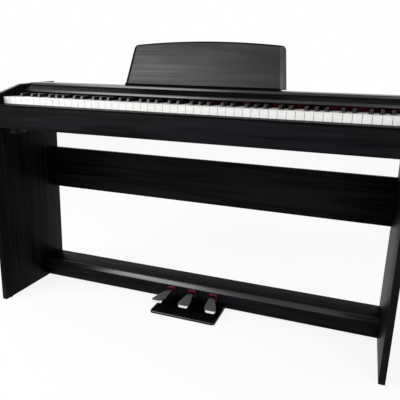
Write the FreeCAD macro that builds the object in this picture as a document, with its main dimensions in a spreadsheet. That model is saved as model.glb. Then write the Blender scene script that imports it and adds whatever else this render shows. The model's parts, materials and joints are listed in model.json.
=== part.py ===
import FreeCAD, Part
import math
import os
import re
import Sketcher
from FreeCAD import Placement, Rotation, Vector

# Digital piano on its stand, in millimetres.
# +X is the treble side, +Y the back, +Z up.  The origin is on the floor, under the middle of the object.
# Depths along Y are counted from the front ends of the white keys (key_front) unless the name says otherwise.

SIZES = [
    # case and side boards
    ("inner_width", 1228.0, "between the two side boards"),
    ("body_depth", 331.0, "side boards, front edge to rear edge"),
    ("board", 18.0, "thickness of a side board"),
    ("glide_height", 3.0, "plastic glides under the side boards"),
    ("glide_radius", 8.0, ""),
    ("glide_inset", 28.0, "glides to the side board's ends"),
    ("side_front_top", 700.0, "side board, top of its front edge"),
    ("side_shoulder_top", 741.5, "side board, height where the slope ends"),
    ("side_shoulder_back", 144.0, "front edge of the side board to that place"),
    ("side_rear_top", 751.0, "side board, top of its rear edge"),
    ("side_round", 4.0, "rounding of a side board's top edges"),
    ("front_round", 3.0, "rounding of the long front edges"),
    # keyboard unit
    ("key_setback", 59.0, "front edge of the side boards to the white keys"),
    ("rail_low", 607.5, "underside of the front rail and of the keybed"),
    ("rail_thickness", 20.0, ""),
    ("slip_thickness", 4.5, "strip in front of the keys"),
    ("slip_gap", 1.2, "strip to the white keys"),
    ("keybed_thickness", 15.0, ""),
    ("rear_thickness", 12.0, "rear panel"),
    ("top_height", 746.5, "top face of the top panel"),
    ("top_thickness", 10.0, ""),
    ("top_lean", 2.2, "slope of its front edge"),
    ("top_start", 136.0, "key front to the front edge of the top panel"),
    ("nosing_start", 96.0, "key front to the nosing"),
    ("nosing_low", 714.0, ""),
    ("nosing_height", 10.5, ""),
    ("nosing_depth", 10.0, ""),
    ("nosing_lean", 3.0, "slope of its front face"),
    ("shelf_thickness", 3.0, "flange behind the nosing"),
    ("fascia_step", 3.5, "fascia set back from the nosing"),
    ("fascia_top_drop", 7.0, "fascia's upper edge below the top face"),
    ("fascia_thickness", 4.0, ""),
    ("felt_thickness", 4.0, "red felt strip behind the keys"),
    ("felt_gap", 1.0, "felt to the white keys' tops"),
    ("felt_side_gap", 0.5, "felt to the side boards"),
    # keys
    ("key_pitch", 23.56, "one white key"),
    ("key_gap", 1.0, "between neighbouring keys"),
    ("white_top", 702.0, ""),
    ("white_height", 21.5, ""),
    ("white_head", 50.0, "white key front to the black keys"),
    ("key_visible", 145.0, "white key front to the red felt"),
    ("black_width", 11.0, ""),
    ("black_top_width", 9.0, ""),
    ("black_height", 11.0, "above the white keys"),
    ("black_slope", 4.0, "lean of a black key's front face"),
    ("key_round", 0.8, "rounding of a key's edges"),
    ("key_dip", 10.0, "travel at the front of a white key"),
    ("pivot_back", 238.0, "key front to the pivot rod"),
    ("pivot_drop", 9.0, "white key top to the pivot rod"),
    ("pivot_radius", 2.0, ""),
    ("key_tail", 8.0, "key behind its pivot"),
    ("tail_trim", 1.0, "each flank of a key near the pivot"),
    ("tail_start", 170.0, "key front to the trimmed tail"),
    ("run_clearance", 0.05, "radial, shaft in its hole"),
    # key frame
    ("frame_top", 666.0, "top face of the key frame"),
    ("frame_thickness", 2.0, ""),
    ("frame_start", 8.0, "key front to the key frame"),
    ("frame_margin", 1.4, "key frame to the side boards"),
    ("web", 1.6, "pivot web of the key frame"),
    ("web_depth", 16.0, ""),
    ("web_above_rod", 6.0, ""),
    ("contact_start", 110.0, "key front to the contact board"),
    ("contact_depth", 40.0, ""),
    ("contact_thickness", 4.5, ""),
    ("stop_start", 14.0, "key front to the felt that stops the keys"),
    ("stop_depth", 16.0, ""),
    ("stop_overrun", 0.3, "felt above the pressed keys' undersides"),
    ("main_board_left", 260.0, "middle of the piano to the main board's far end"),
    ("main_board_width", 160.0, ""),
    ("main_board_start", 140.0, "key front to the main board"),
    ("main_board_depth", 80.0, ""),
    ("main_board_thickness", 1.6, ""),
    ("post_height", 5.0, "posts under the main board"),
    ("post_radius", 3.0, ""),
    ("chip_height", 3.4, ""),
    # modesty board and bottom board
    ("modesty_low", 352.5, ""),
    ("modesty_height", 153.0, ""),
    ("modesty_thickness", 15.0, ""),
    ("modesty_inset", 10.0, "rear edge of the side boards to the modesty board"),
    ("lower_start", 165.0, "key front to the bottom board's face"),
    ("lower_top", 75.0, ""),
    ("lower_low", 13.0, ""),
    ("lower_thickness", 15.0, ""),
    ("lower_inset", 5.0, "rear edge of the side boards to the bottom board"),
    ("strip_height", 13.0, "sloped strip along the bottom box's upper front edge"),
    ("strip_lean", 9.0, "depth of that strip"),
    # pedals
    ("plate_start", 58.0, "key front to the pedal base plate"),
    ("plate_depth", 200.0, ""),
    ("plate_width", 232.0, ""),
    ("plate_thickness", 8.0, ""),
    ("plate_corner", 13.0, ""),
    ("plate_bevel", 2.5, ""),
    ("pedal_spacing", 78.0, "between neighbouring pedal arms"),
    ("pedal_splay", 18.0, "outward lean of an outer pedal's tip"),
    ("pedal_tip", 68.0, "key front to the pedals' tips"),
    ("pedal_neck", 150.0, "key front to the pedals' necks"),
    ("pedal_arm_width", 20.0, ""),
    ("pedal_head_width", 40.0, ""),
    ("pedal_arm_height", 10.0, ""),
    ("pedal_pivot_height", 47.0, ""),
    ("pedal_pivot_back", 238.0, "key front to the pedal axle"),
    ("pedal_tip_drop", 7.0, "tip's top below the arm's top"),
    ("pedal_tip_height", 8.0, ""),
    ("pedal_corner", 12.0, "rounding of a pedal's tip, in plan"),
    ("pedal_clearance", 0.6, "arm to its felt frame"),
    ("pedal_travel", 4.5, "degrees"),
    ("axle_radius", 3.0, ""),
    ("ear", 2.5, "thickness of a bracket ear"),
    ("bracket_sheet", 2.0, "thickness of the bracket's plates"),
    ("bracket_front", 34.0, "bracket before the axle"),
    ("bracket_rear", 14.0, "bracket behind the axle"),
    ("ear_depth", 18.0, ""),
    ("strap_depth", 24.0, ""),
    ("spring_ahead", 24.0, "pedal spring before the axle"),
    ("sensor_height", 6.0, "sensor board above the base plate"),
    ("sensor_depth", 14.0, ""),
    ("pedal_felt_depth", 6.0, ""),
    ("pedal_felt_border", 6.0, ""),
    ("pedal_felt_side", 2.5, "felt beside the arm"),
    # music rest
    ("rest_back", 187.0, "key front to the music rest's foot"),
    ("rest_width", 540.0, "at its foot"),
    ("rest_taper", 17.0, "each side, foot to top"),
    ("rest_height", 133.0, "at its top corners"),
    ("rest_arch", 13.0, "rise of its top edge in the middle"),
    ("rest_thickness", 12.0, ""),
    ("rest_corner", 16.0, ""),
    ("rest_bevel", 8.0, ""),
    ("rest_lean", 17.0, "degrees"),
    ("rest_gap", 0.3, "ledge to the top panel"),
    ("ledge_depth", 24.0, ""),
    ("ledge_thickness", 3.2, ""),
    ("ledge_lip", 8.2, ""),
    ("peg_radius", 4.0, ""),
    ("peg_spacing", 380.0, ""),
    ("peg_depth", 9.0, "pegs into the top panel"),
    # controls
    ("button_gap", 0.3, "button to its window"),
    ("button_proud", 1.0, ""),
    ("button_depth", 7.0, "button below the fascia's face"),
    ("control_column", 596.0, "middle of the piano to the power button and the volume knob"),
    ("control_offset", 9.0, "each of them from the fascia's middle line"),
    ("power_radius", 4.5, ""),
    ("knob_radius", 6.0, ""),
    ("knob_height", 8.0, ""),
    ("knob_stem_radius", 3.0, ""),
    ("bar_width", 10.0, "function buttons"),
    ("bar_depth", 5.0, ""),
    ("bar_start", 572.0, "middle of the piano to the first function button"),
    ("bar_pitch", 18.0, ""),
    ("control_plate_width", 74.0, "circuit board under the buttons"),
    ("control_plate_depth", 24.0, ""),
    ("control_plate_high", 8.8, "its upper face below the fascia's face"),
    ("control_plate_low", 10.4, ""),
    ("boss_radius", 2.5, ""),
    # sound and sockets
    ("speaker_offset", 430.0, "middle of the piano to a speaker"),
    ("speaker_back", 95.0, "key front to the speakers' centres"),
    ("speaker_radius", 56.0, ""),
    ("speaker_hole", 48.0, ""),
    ("speaker_height", 36.0, ""),
    ("grille_radius", 60.0, ""),
    ("grille_thickness", 3.0, ""),
    ("jack_radius", 3.25, "headphone socket"),
    ("jack_length", 14.0, ""),
    ("jack_offset", 551.0, "middle of the piano to the headphone box"),
    ("jack_box_width", 20.0, ""),
    ("jack_box_depth", 50.0, ""),
    ("jack_box_height", 18.0, ""),
    ("inlet_radius", 2.75, "power socket"),
    ("inlet_length", 9.0, ""),
    ("inlet_offset", 520.0, ""),
    ("inlet_width", 28.0, "window for the power socket"),
    ("inlet_low", 30.0, "case's underside to that window"),
    ("inlet_height", 20.0, ""),
    ("inlet_gap", 0.3, "socket to its window"),
    ("inlet_depth", 24.0, ""),
    ("inlet_recess", 2.0, ""),
]

OCTAVE_BLACKS = {"C": 0.90, "D": 1.10, "F": 0.87, "G": 1.00, "A": 1.13}
WHITE_LETTERS = "ABCDEFG"
WHITE_COUNT = 52
MIDDLE_OCTAVE = 4

doc = FreeCAD.newDocument("digital_piano")
sheet = doc.addObject("Spreadsheet::Sheet", "sizes")
for row, (name, value, note) in enumerate(SIZES, start=1):
    sheet.set("A%d" % row, name)
    sheet.set("B%d" % row, str(value))
    sheet.setAlias("B%d" % row, name)
    sheet.set("C%d" % row, note)
doc.recompute()
NAMES = {name for name, value, note in SIZES}
nodes = []


def size(name):
    return float(sheet.get(name))


# Places that several pieces share, as expressions of the sheet's names.
KEY_FRONT = "(key_setback-body_depth/2)"
FRONT = "(-body_depth/2)"
REAR = "(body_depth/2)"
HALF = "(inner_width/2)"
SLIP_TOP = "(white_top-white_height)"
KEYBED_TOP = "(rail_low+keybed_thickness)"
REAR_INSIDE = "(body_depth/2-rear_thickness)"
TOP_LOW = "(top_height-top_thickness)"
TOP_FRONT = "(%s+top_start)" % KEY_FRONT
NOSING_FRONT = "(%s+nosing_start)" % KEY_FRONT
NOSING_TOP = "(nosing_low+nosing_height)"
LOWER_FRONT = "(%s+lower_start)" % KEY_FRONT
FELT_BACK = "(%s+key_visible+felt_thickness)" % KEY_FRONT
INLET_LOW = "(rail_low+inlet_low)"

key_front = size("key_setback") - size("body_depth") / 2
half = size("inner_width") / 2
slip_top = size("white_top") - size("white_height")
keybed_top = size("rail_low") + size("keybed_thickness")
pivot_y = key_front + size("pivot_back")
pivot_z = size("white_top") - size("pivot_drop")
pedal_pivot_y = key_front + size("pedal_pivot_back")


def bound(text):
    """An expression with every size name pointing at the sheet."""
    def pointed(found):
        word = found.group(0)
        return "sizes." + word if word in NAMES else word

    return re.sub(r"[a-z_]+", pointed, text)


def bind(piece, prop, text):
    piece.setExpression(prop, bound(text))


def keep(piece, label):
    """Marks a finished piece as one of the object's nodes."""
    piece.Label = label
    nodes.append(piece)
    return piece


def block(name, x, y, z):
    """A Part::Box between expressions for its low and high faces."""
    box = doc.addObject("Part::Box", name)
    for prop, axis, (low, high) in (("Length", "x", x), ("Width", "y", y), ("Height", "z", z)):
        bind(box, prop, "(%s)-(%s)" % (high, low))
        bind(box, "Placement.Base." + axis, low)
    return box


def rod(name, radius, length, base, direction=Vector(0, 0, 1)):
    """A Part::Cylinder from a base point, given as three expressions."""
    cylinder = doc.addObject("Part::Cylinder", name)
    cylinder.Placement = Placement(Vector(), Rotation(Vector(0, 0, 1), direction))
    bind(cylinder, "Radius", radius)
    bind(cylinder, "Height", length)
    for axis, text in zip("xyz", base):
        bind(cylinder, "Placement.Base." + axis, text)
    return cylinder


def cut(name, base, tools):
    """Base without its tools."""
    result = doc.addObject("Part::Cut", name)
    result.Base = base
    result.Tool = tools[0] if len(tools) == 1 else fuse(name + "_tools", tools)
    return result


def fuse(name, pieces):
    result = doc.addObject("Part::MultiFuse", name)
    result.Shapes = pieces
    return result


def group(name, pieces):
    """Separate equal pieces that share a node."""
    result = doc.addObject("Part::Compound", name)
    result.Links = pieces
    return result


def rounded(name, base, radius, wanted):
    """A Part::Fillet on the edges that the test picks, its radius bound to the sheet."""
    doc.recompute()
    fillet = doc.addObject("Part::Fillet", name)
    fillet.Base = base
    number = size(radius)
    fillet.Edges = [(i, number, number) for i, edge in enumerate(base.Shape.Edges, start=1) if wanted(edge)]
    return fillet


def plane_of(body, role):
    return [feature for feature in body.Origin.OriginFeatures if feature.Role == role][0]


def outline(body, role, name, corners, offset="0"):
    """A closed polygon sketch on an origin plane; each corner is a pair of expressions."""
    sketch = body.newObject("Sketcher::SketchObject", name)
    sketch.AttachmentSupport = [(plane_of(body, role), "")]
    sketch.MapMode = "FlatFace"
    bind(sketch, "AttachmentOffset.Base.z", offset)
    count = len(corners)
    turns = [2 * math.pi * i / count for i in range(count)]
    ring = [Vector(math.cos(turn), math.sin(turn), 0) * 100 for turn in turns]
    for i in range(count):
        sketch.addGeometry(Part.LineSegment(ring[i], ring[(i + 1) % count]))
    for i in range(count):
        sketch.addConstraint(Sketcher.Constraint("Coincident", i, 2, (i + 1) % count, 1))
    for i, corner in enumerate(corners):
        pair = (("DistanceX", "x", ring[i].x, corner[0]), ("DistanceY", "y", ring[i].y, corner[1]))
        for kind, axis, start, text in pair:
            number = sketch.addConstraint(Sketcher.Constraint(kind, -1, 1, i, 1, start))
            sketch.renameConstraint(number, "corner%d%s" % (i, axis))
            bind(sketch, "Constraints.corner%d%s" % (i, axis), text)
    return sketch


def padded(label, role, corners, length, offset="0"):
    """A PartDesign body: one outline, padded."""
    body = doc.addObject("PartDesign::Body", label + "_body")
    sketch = outline(body, role, label + "_outline", corners, offset)
    pad = body.newObject("PartDesign::Pad", label + "_pad")
    pad.Profile = sketch
    bind(pad, "Length", length)
    doc.recompute()
    return body


def body_fillet(body, name, radius, wanted):
    """A PartDesign fillet on the edges of the body's tip that the test picks."""
    base = body.Tip
    fillet = body.newObject("PartDesign::Fillet", name)
    picked = ["Edge%d" % i for i, edge in enumerate(base.Shape.Edges, start=1) if wanted(edge)]
    fillet.Base = (base, picked)
    bind(fillet, "Radius", radius)
    body.Tip = fillet
    doc.recompute()
    return fillet


def centre(edge):
    return edge.BoundBox.Center


def along(edge, axis):
    """True for an edge that runs along one axis only."""
    box = edge.BoundBox
    lengths = {"x": box.XLength, "y": box.YLength, "z": box.ZLength}
    return lengths[axis] > 1 and all(lengths[other] < 1e-6 for other in lengths if other != axis)


def near(value, target):
    return abs(value - target) < 1e-4


def feature(label, shape):
    """A Part::Feature for a shape that no primitive or body fits."""
    piece = doc.addObject("Part::Feature", label + "_shape")
    piece.Shape = shape
    piece.Placement = Placement()
    return keep(piece, label)


# ---------------------------------------------------------------- side boards

def side_board(label, sign):
    corners = [
        (FRONT, "glide_height"),
        (REAR, "glide_height"),
        (REAR, "side_rear_top"),
        (FRONT + "+side_shoulder_back", "side_shoulder_top"),
        (FRONT, "side_front_top"),
    ]
    offset = HALF if sign > 0 else "(-inner_width/2-board)"
    body = padded(label, "YZ_Plane", corners, "board", offset)
    low = size("side_front_top") - 1

    def top_edge(edge):
        return edge.BoundBox.ZMin > low and edge.BoundBox.XLength < 1e-6

    body_fillet(body, label + "_round", "side_round", top_edge)
    return keep(body, label)


def floor_glides():
    pieces = []
    ends = ((FRONT + "+glide_inset", "front"), (REAR + "-glide_inset", "rear"))
    for sign, word in ((-1, "left"), (1, "right")):
        x = "%d*(inner_width/2+board/2)" % sign
        for y, place in ends:
            pieces.append(rod("glide_%s_%s" % (word, place), "glide_radius", "glide_height", (x, y, "0")))
    return keep(group("glides", pieces), "floor_glides")


def modesty_board():
    back = "(body_depth/2-modesty_inset)"
    base = block("modesty", ("-" + HALF, HALF), (back + "-modesty_thickness", back),
                 ("modesty_low", "modesty_low+modesty_height"))
    return keep(base, "modesty_board")


# ---------------------------------------------------------------- keyboard case

def front_rail():
    base = block("rail", ("-" + HALF, HALF), (FRONT, FRONT + "+rail_thickness"),
                 ("rail_low", SLIP_TOP + "-slip_thickness"))
    edge_y = -size("body_depth") / 2
    low = size("rail_low")
    made = rounded("rail_round", base, "front_round",
                   lambda e: along(e, "x") and near(centre(e).y, edge_y) and near(centre(e).z, low))
    return keep(made, "front_rail")


def key_slip():
    base = block("slip", ("-" + HALF, HALF), (FRONT, KEY_FRONT + "-slip_gap"),
                 (SLIP_TOP + "-slip_thickness", SLIP_TOP))
    edge_y = -size("body_depth") / 2
    made = rounded("slip_round", base, "front_round",
                   lambda e: along(e, "x") and near(centre(e).y, edge_y) and near(centre(e).z, slip_top))
    return keep(made, "key_slip")


def keybed():
    base = block("keybed_board", ("-" + HALF, HALF), (FRONT + "+rail_thickness", REAR_INSIDE),
                 ("rail_low", KEYBED_TOP))
    holes = []
    for sign, word in ((-1, "left"), (1, "right")):
        place = ("%d*speaker_offset" % sign, KEY_FRONT + "+speaker_back", "rail_low-1")
        holes.append(rod("speaker_hole_" + word, "speaker_hole", "keybed_thickness+2", place))
    return keep(cut("keybed_cut", base, holes), "keybed")


def rear_panel():
    base = block("rear_board", ("-" + HALF, HALF), (REAR_INSIDE, REAR), ("rail_low", TOP_LOW))
    window = block("inlet_window", ("inlet_offset-inlet_width/2", "inlet_offset+inlet_width/2"),
                   (REAR_INSIDE + "-1", REAR + "+1"), (INLET_LOW, INLET_LOW + "+inlet_height"))
    return keep(cut("rear_cut", base, [window]), "rear_panel")


def top_panel():
    corners = [
        (TOP_FRONT, TOP_LOW),
        (REAR, TOP_LOW),
        (REAR, "top_height"),
        (TOP_FRONT + "+top_lean", "top_height"),
        (TOP_FRONT, "top_height-fascia_top_drop"),
    ]
    body = padded("top_board", "YZ_Plane", corners, "inner_width", "-" + HALF)
    holes = []
    for sign, word in ((-1, "left"), (1, "right")):
        place = ("%d*peg_spacing/2" % sign, KEY_FRONT + "+rest_back-ledge_depth/2", TOP_LOW + "-1")
        holes.append(rod("peg_hole_" + word, "peg_radius+run_clearance", "top_thickness+2", place))
    return keep(cut("top_cut", body, holes), "top_panel")


FASCIA_LOW = (NOSING_FRONT + "+fascia_step", NOSING_TOP)
FASCIA_HIGH = (TOP_FRONT, "top_height-fascia_top_drop")
FASCIA_RUN = "(top_start-nosing_start-fascia_step)"
FASCIA_RISE = "(top_height-fascia_top_drop-nosing_low-nosing_height)"
FASCIA_SPAN = "fascia_thickness*sqrt(%s^2+%s^2)" % (FASCIA_RUN, FASCIA_RISE)


def fascia_frame():
    """The middle of the fascia's face, its slope in degrees and the direction up the slope."""
    foot_y = key_front + size("nosing_start") + size("fascia_step")
    low = Vector(0, foot_y, size("nosing_low") + size("nosing_height"))
    high = Vector(0, key_front + size("top_start"), size("top_height") - size("fascia_top_drop"))
    rise = (high - low).normalize()
    slope = math.degrees(math.atan2(rise.z, rise.y))
    return (low + high) * 0.5, slope, rise


def on_fascia(x, up, depth):
    """A placement on the fascia: x along it, up its slope, and depth below its face."""
    middle, slope, rise = fascia_frame()
    inward = Vector(0, rise.z, -rise.y)
    spot = Vector(x, 0, 0) + middle + rise * up + inward * depth
    return Placement(spot, Rotation(Vector(1, 0, 0), slope))


def sloped_bar(name, x, up, width, depth, low, high):
    """A box on the fascia, centred on a spot, between two levels above its face."""
    box = doc.addObject("Part::Box", name)
    bind(box, "Length", width)
    bind(box, "Width", depth)
    bind(box, "Height", "(%s)-(%s)" % (high, low))
    doc.recompute()
    spot = on_fascia(x, up, 0)
    corner = Vector(-float(box.Length) / 2, -float(box.Width) / 2, number_of(low))
    box.Placement = spot.multiply(Placement(corner, Rotation()))
    return box


def sloped_rod(name, x, up, radius, low, high):
    """A round on the fascia, between two levels above its face."""
    cylinder = doc.addObject("Part::Cylinder", name)
    bind(cylinder, "Radius", radius)
    bind(cylinder, "Height", "(%s)-(%s)" % (high, low))
    cylinder.Placement = on_fascia(x, up, 0).multiply(Placement(Vector(0, 0, number_of(low)), Rotation()))
    return cylinder


def number_of(text):
    """The value of a short expression: a number, a size name, or a name with a minus sign."""
    sign = -1 if text.startswith("-") else 1
    word = text.lstrip("-")
    return sign * (size(word) if word in NAMES else float(word))


def bar_place(index):
    return size("bar_start") - index * size("bar_pitch")


def fascia():
    corners = [
        FASCIA_LOW,
        FASCIA_HIGH,
        (FASCIA_HIGH[0], "%s-%s/%s" % (FASCIA_HIGH[1], FASCIA_SPAN, FASCIA_RUN)),
        ("%s+%s/%s" % (FASCIA_LOW[0], FASCIA_SPAN, FASCIA_RISE), FASCIA_LOW[1]),
    ]
    body = padded("fascia_plate", "YZ_Plane", corners, "inner_width", "-" + HALF)
    column = size("control_column")
    up = size("control_offset")
    through = ("-button_depth", "button_depth")
    windows = [
        sloped_rod("power_window", column, -up, "power_radius+button_gap", *through),
        sloped_rod("knob_window", column, up, "knob_stem_radius+run_clearance", *through),
    ]
    for index in range(2):
        windows.append(sloped_bar("bar_window%d" % index, bar_place(index), 0, "bar_width+2*button_gap",
                                  "bar_depth+2*button_gap", *through))
    return keep(cut("fascia_cut", body, windows), "fascia")


def nosing():
    """The strip under the fascia, its front sloped back, with a flange that reaches the red felt."""
    corners = [
        (NOSING_FRONT, "nosing_low"),
        (FELT_BACK, "nosing_low"),
        (FELT_BACK, "nosing_low+shelf_thickness"),
        (NOSING_FRONT + "+nosing_depth", "nosing_low+shelf_thickness"),
        (NOSING_FRONT + "+nosing_depth", NOSING_TOP),
        (NOSING_FRONT + "+nosing_lean", NOSING_TOP),
    ]
    body = padded("nosing_strip", "YZ_Plane", corners, "inner_width", "-" + HALF)
    front = key_front + size("nosing_start")
    body_fillet(body, "nosing_round", "front_round", lambda e: along(e, "x") and near(centre(e).y, front))
    return keep(body, "nosing")


def key_felt_strip():
    reach = "(inner_width/2-felt_side_gap)"
    base = block("felt", ("-" + reach, reach), (KEY_FRONT + "+key_visible", FELT_BACK),
                 ("white_top+felt_gap", "nosing_low"))
    return keep(base, "key_felt_strip")


# ---------------------------------------------------------------- controls

def power_button():
    column = size("control_column")
    made = sloped_rod("power", column, -size("control_offset"), "power_radius", "-button_depth", "button_proud")
    return keep(made, "power_button")


def volume_knob():
    column = size("control_column")
    up = size("control_offset")
    cap = sloped_rod("knob_cap", column, up, "knob_radius", "0.5", "knob_height")
    stem = sloped_rod("knob_stem", column, up, "knob_stem_radius", "-button_depth", "0.5")
    return keep(fuse("knob", [cap, stem]), "volume_knob")


def function_button(label, index):
    made = sloped_bar(label + "_bar", bar_place(index), 0, "bar_width", "bar_depth", "-button_depth",
                      "button_proud")
    return keep(made, label)


def control_board():
    """The circuit board under the buttons, on two bosses that meet the fascia."""
    x = (size("control_column") + bar_place(1)) / 2
    board = sloped_bar("control_plate", x, 0, "control_plate_width", "control_plate_depth",
                       "-control_plate_low", "-control_plate_high")
    reach = size("control_plate_width") / 2 - 2 * size("boss_radius")
    side = size("control_plate_depth") / 2 - 2 * size("boss_radius")
    bosses = []
    for index, up in enumerate((-side, side)):
        bosses.append(sloped_rod("control_boss%d" % index, x - reach, up, "boss_radius", "-control_plate_high",
                                 "-fascia_thickness"))
    return keep(fuse("control_assembly", [board] + bosses), "control_board")


# ---------------------------------------------------------------- keys

def white_letter(index):
    return WHITE_LETTERS[index % 7]


def black_places():
    """Centre of every black key from the middle of the piano, with the white key on its left."""
    pitch = size("key_pitch")
    start = -WHITE_COUNT * pitch / 2
    places = {}
    for index in range(WHITE_COUNT - 1):
        letter = white_letter(index)
        if letter in OCTAVE_BLACKS:
            places[index] = start + (index + OCTAVE_BLACKS[letter]) * pitch
    return places


def pivot_hole(x):
    length = size("key_pitch") * 2
    radius = size("pivot_radius") + size("run_clearance")
    return Part.makeCylinder(radius, length, Vector(x - length / 2, pivot_y, pivot_z), Vector(1, 0, 0))


def extruded(points, low, height):
    wire = Part.makePolygon([Vector(x, y, low) for x, y in points] + [Vector(points[0][0], points[0][1], low)])
    return Part.Face(wire).extrude(Vector(0, 0, height))


def white_key(index, blacks):
    """A white key: a wide head, a tail between its black neighbours, trimmed near the pivot."""
    pitch = size("key_pitch")
    gap = size("key_gap")
    left = (index - WHITE_COUNT / 2) * pitch + gap / 2
    right = left + pitch - gap
    clear = size("black_width") / 2 + gap
    tail_left = max(left, blacks[index - 1] + clear) if index - 1 in blacks else left
    tail_right = min(right, blacks[index] - clear) if index in blacks else right
    trim = size("tail_trim")
    trim_left = trim * (3 if index == 0 else 1)
    trim_right = trim * (3 if index == WHITE_COUNT - 1 else 1)
    head = key_front + size("white_head") - gap
    tail = key_front + size("tail_start")
    back = pivot_y + size("key_tail")
    points = [
        (left, key_front), (right, key_front), (right, head), (tail_right, head), (tail_right, tail),
        (tail_right - trim_right, tail), (tail_right - trim_right, back), (tail_left + trim_left, back),
        (tail_left + trim_left, tail), (tail_left, tail), (tail_left, head), (left, head),
    ]
    unique = [p for i, p in enumerate(points) if p != points[i - 1]]
    key = extruded(unique, slip_top, size("white_height"))
    top = size("white_top")
    soft = [e for e in key.Edges if near(centre(e).z, top) and centre(e).y < head - 1e-3]
    soft += [e for e in key.Edges if along(e, "z") and near(centre(e).y, key_front)]
    key = key.makeFillet(size("key_round"), soft)
    return key.cut(pivot_hole((left + right) / 2))


def black_key(x):
    """A black key: a tapered cap over the visible length, and a low tail to the pivot."""
    base = size("black_width") / 2
    crown = size("black_top_width") / 2
    low = slip_top + 3
    level = size("white_top") - 0.5
    top = size("white_top") + size("black_height")
    front = key_front + size("white_head")
    cap_back = key_front + size("key_visible") - 2
    back = pivot_y + size("key_tail")
    tail = key_front + size("tail_start")
    trim = size("tail_trim")
    lean = size("black_slope")
    lower = [
        (x - base, front), (x + base, front), (x + base, tail), (x + base - trim, tail),
        (x + base - trim, back), (x - base + trim, back), (x - base + trim, tail), (x - base, tail),
    ]
    body = extruded(lower, low, level - low)

    def section(half_width, start, height):
        low_x = x - half_width
        high_x = x + half_width
        ring = [(low_x, start), (high_x, start), (high_x, cap_back), (low_x, cap_back), (low_x, start)]
        return Part.makePolygon([Vector(a, b, height) for a, b in ring])

    cap = Part.makeLoft([section(base, front, level), section(crown, front + lean, top)], True, True)
    soft = [e for e in cap.Edges if centre(e).z > level + 0.01 and centre(e).y < cap_back - 1e-3]
    cap = cap.makeFillet(size("key_round"), soft)
    return body.fuse(cap).removeSplitter().cut(pivot_hole(x))


def keys():
    """The middle octave key by key; the keys on either side of it in four groups."""
    blacks = black_places()
    first_c = 2 + 7 * (MIDDLE_OCTAVE - 1)
    whites = [white_key(index, blacks) for index in range(WHITE_COUNT)]
    dark = {index: black_key(x) for index, x in blacks.items()}
    feature("white_keys_bass", Part.makeCompound(whites[:first_c]))
    feature("black_keys_bass", Part.makeCompound([key for index, key in dark.items() if index < first_c]))
    for index in range(first_c, first_c + 7):
        letter = white_letter(index).lower()
        feature("key_" + letter, whites[index])
        if index in dark:
            feature("key_%s_sharp" % letter, dark[index])
    feature("white_keys_treble", Part.makeCompound(whites[first_c + 7:]))
    last = [key for index, key in dark.items() if index >= first_c + 7]
    feature("black_keys_treble", Part.makeCompound(last))


# ---------------------------------------------------------------- under the keys

def web_places():
    """Pivot webs: one at each end, and one at every step from B to C, where the tails leave room."""
    pitch = size("key_pitch")
    start = -WHITE_COUNT * pitch / 2
    ends = half - size("frame_margin") - size("web") / 2
    steps = [start + index * pitch for index in range(1, WHITE_COUNT) if white_letter(index) == "C"]
    return [-ends] + steps + [ends]


def key_frame():
    margin = "(inner_width/2-frame_margin)"
    back = "(%s+pivot_back+web_depth/2)" % KEY_FRONT
    x = ("-" + margin, margin)
    start = KEY_FRONT + "+frame_start"
    under = "(frame_top-frame_thickness)"
    pieces = [
        block("frame_plate", x, (start, back), (under, "frame_top")),
        block("frame_front", x, (start, start + "+frame_thickness"), (KEYBED_TOP, under)),
        block("frame_back", x, (back + "-frame_thickness", back), (KEYBED_TOP, under)),
    ]
    for index, place in enumerate(web_places()):
        web = block("frame_web%d" % index, ("0", "web"), (back + "-web_depth", back),
                    ("frame_top-1", "white_top-pivot_drop+web_above_rod"))
        web.setExpression("Placement.Base.x", None)
        doc.recompute()
        web.Placement.Base.x = place - size("web") / 2
        pieces.append(web)
    start = ("-" + HALF, KEY_FRONT + "+pivot_back", "white_top-pivot_drop")
    hole = rod("frame_hole", "pivot_radius", "inner_width", start, Vector(1, 0, 0))
    return keep(cut("frame_cut", fuse("frame_sheet", pieces), [hole]), "key_frame")


def key_pivot_rod():
    start = ("-" + HALF + "+frame_margin", KEY_FRONT + "+pivot_back", "white_top-pivot_drop")
    made = rod("pivot", "pivot_radius", "inner_width-2*frame_margin", start, Vector(1, 0, 0))
    return keep(made, "key_pivot_rod")


def key_centres():
    """Middle of every key's tail, from bass to treble."""
    blacks = black_places()
    pitch = size("key_pitch")
    clear = size("black_width") / 2 + size("key_gap")
    places = list(blacks.values())
    for index in range(WHITE_COUNT):
        left = (index - WHITE_COUNT / 2) * pitch
        tail_left = max(left, blacks[index - 1] + clear) if index - 1 in blacks else left
        tail_right = min(left + pitch, blacks[index] - clear) if index in blacks else left + pitch
        places.append((tail_left + tail_right) / 2)
    return sorted(places)


def sag_at(back):
    """How far a pressed key's underside comes down at a distance behind the key front."""
    return (size("pivot_back") - back) * size("key_dip") / size("pivot_back")


# Small pieces under the keys: where the leaves stand, and the shapes of leaf and dome.
SPRING_BACK = 216.0
SPRING_LEAF = (6.0, 1.0)
SHORT_OF_KEY = 0.5
DOME_FOOT = 4.0
DOME_TOP = 2.5


def contact_board():
    margin = "(inner_width/2-frame_margin)"
    start = KEY_FRONT + "+contact_start"
    made = block("contact_carrier", ("-" + margin, margin), (start, start + "+contact_depth"),
                 ("frame_top", "frame_top+contact_thickness"))
    return keep(made, "contact_board")


def contact_domes():
    back = size("contact_start") + size("contact_depth") / 2
    low = size("frame_top") + size("contact_thickness")
    height = slip_top - sag_at(back) - SHORT_OF_KEY - low
    spots = [Vector(x, key_front + back, low) for x in key_centres()]
    domes = [Part.makeCone(DOME_FOOT, DOME_TOP, height, spot) for spot in spots]
    return feature("contact_domes", Part.makeCompound(domes))


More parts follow.
